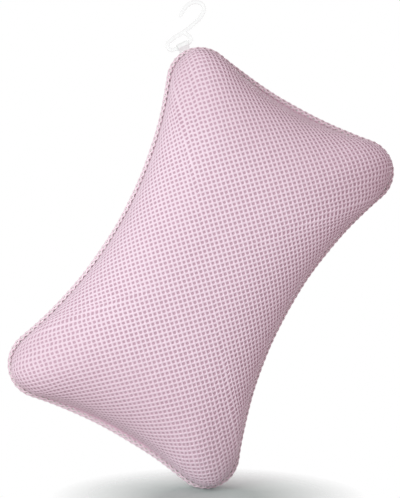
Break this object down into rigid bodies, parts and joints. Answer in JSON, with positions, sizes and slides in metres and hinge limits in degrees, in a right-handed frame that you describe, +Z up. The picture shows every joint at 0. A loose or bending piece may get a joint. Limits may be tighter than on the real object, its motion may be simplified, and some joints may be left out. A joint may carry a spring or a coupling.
{
  "type": "bath pillow",
  "caption": "Waisted bath pillow of pink air mesh with corded piping round its seam, a clear hook on a ribbon loop at a corner and suction cups on its back.",
  "frame": {"origin": "middle of the plane of the suction cups' rims, where the tub wall is", "axes": "+X along the pillow, towards the end with the hook; +Y from the face to the back, into the wall; +Z up, across the pillow"},
  "size_m": [0.3391, 0.0912, 0.2146],
  "materials": {
    "air_mesh": "open knitted spacer mesh",
    "piping_mesh": "fine knitted mesh",
    "fibre": "loose polyester fibre",
    "cord": "soft filler cord",
    "ribbon": "satin ribbon",
    "binding": "close stitched thread",
    "backing": "woven tape",
    "clear_vinyl": "clear soft vinyl",
    "hook_plastic": "clear moulded plastic"
  },
  "bodies": {
    "pillow": {"front_panel": "air_mesh", "back_panel": "air_mesh", "filling": "fibre", "piping_cover": "piping_mesh", "piping_cord": "cord", "loop_tail": "ribbon", "eyelet_1": "binding", "backing_disc_1": "backing", "eyelet_2": "binding", "backing_disc_2": "backing", "eyelet_3": "binding", "backing_disc_3": "backing", "eyelet_4": "binding", "backing_disc_4": "backing"},
    "hang_loop": {"hang_loop": "ribbon"},
    "hang_hook": {"hang_hook": "hook_plastic"},
    "suction_cup_1": {"suction_cup_1": "clear_vinyl"},
    "suction_cup_2": {"suction_cup_2": "clear_vinyl"},
    "suction_cup_3": {"suction_cup_3": "clear_vinyl"},
    "suction_cup_4": {"suction_cup_4": "clear_vinyl"}
  },
  "joints": [
    {"name": "loop_flex", "type": "hinge", "parent": "pillow", "child": "hang_loop", "pos_m": [0.144, -0.04224, 0.09635], "axis": [0.8192, 0, -0.5736], "range_deg": [-45, 45], "stiffness_Nm_per_rad": 0.004},
    {"name": "hook_swing", "type": "hinge", "parent": "hang_loop", "child": "hang_hook", "pos_m": [0.14607, -0.04224, 0.0993], "axis": [0.8192, 0, -0.5736], "range_deg": [-64, 64]},
    {"name": "cup_1_spin", "type": "hinge", "parent": "pillow", "child": "suction_cup_1", "pos_m": [-0.072, 0, 0.036], "axis": [0, 1, 0], "continuous": true},
    {"name": "cup_2_spin", "type": "hinge", "parent": "pillow", "child": "suction_cup_2", "pos_m": [0.072, 0, 0.036], "axis": [0, 1, 0], "continuous": true},
    {"name": "cup_3_spin", "type": "hinge", "parent": "pillow", "child": "suction_cup_3", "pos_m": [-0.072, 0, -0.036], "axis": [0, 1, 0], "continuous": true},
    {"name": "cup_4_spin", "type": "hinge", "parent": "pillow", "child": "suction_cup_4", "pos_m": [0.072, 0, -0.036], "axis": [0, 1, 0], "continuous": true}
  ]
}
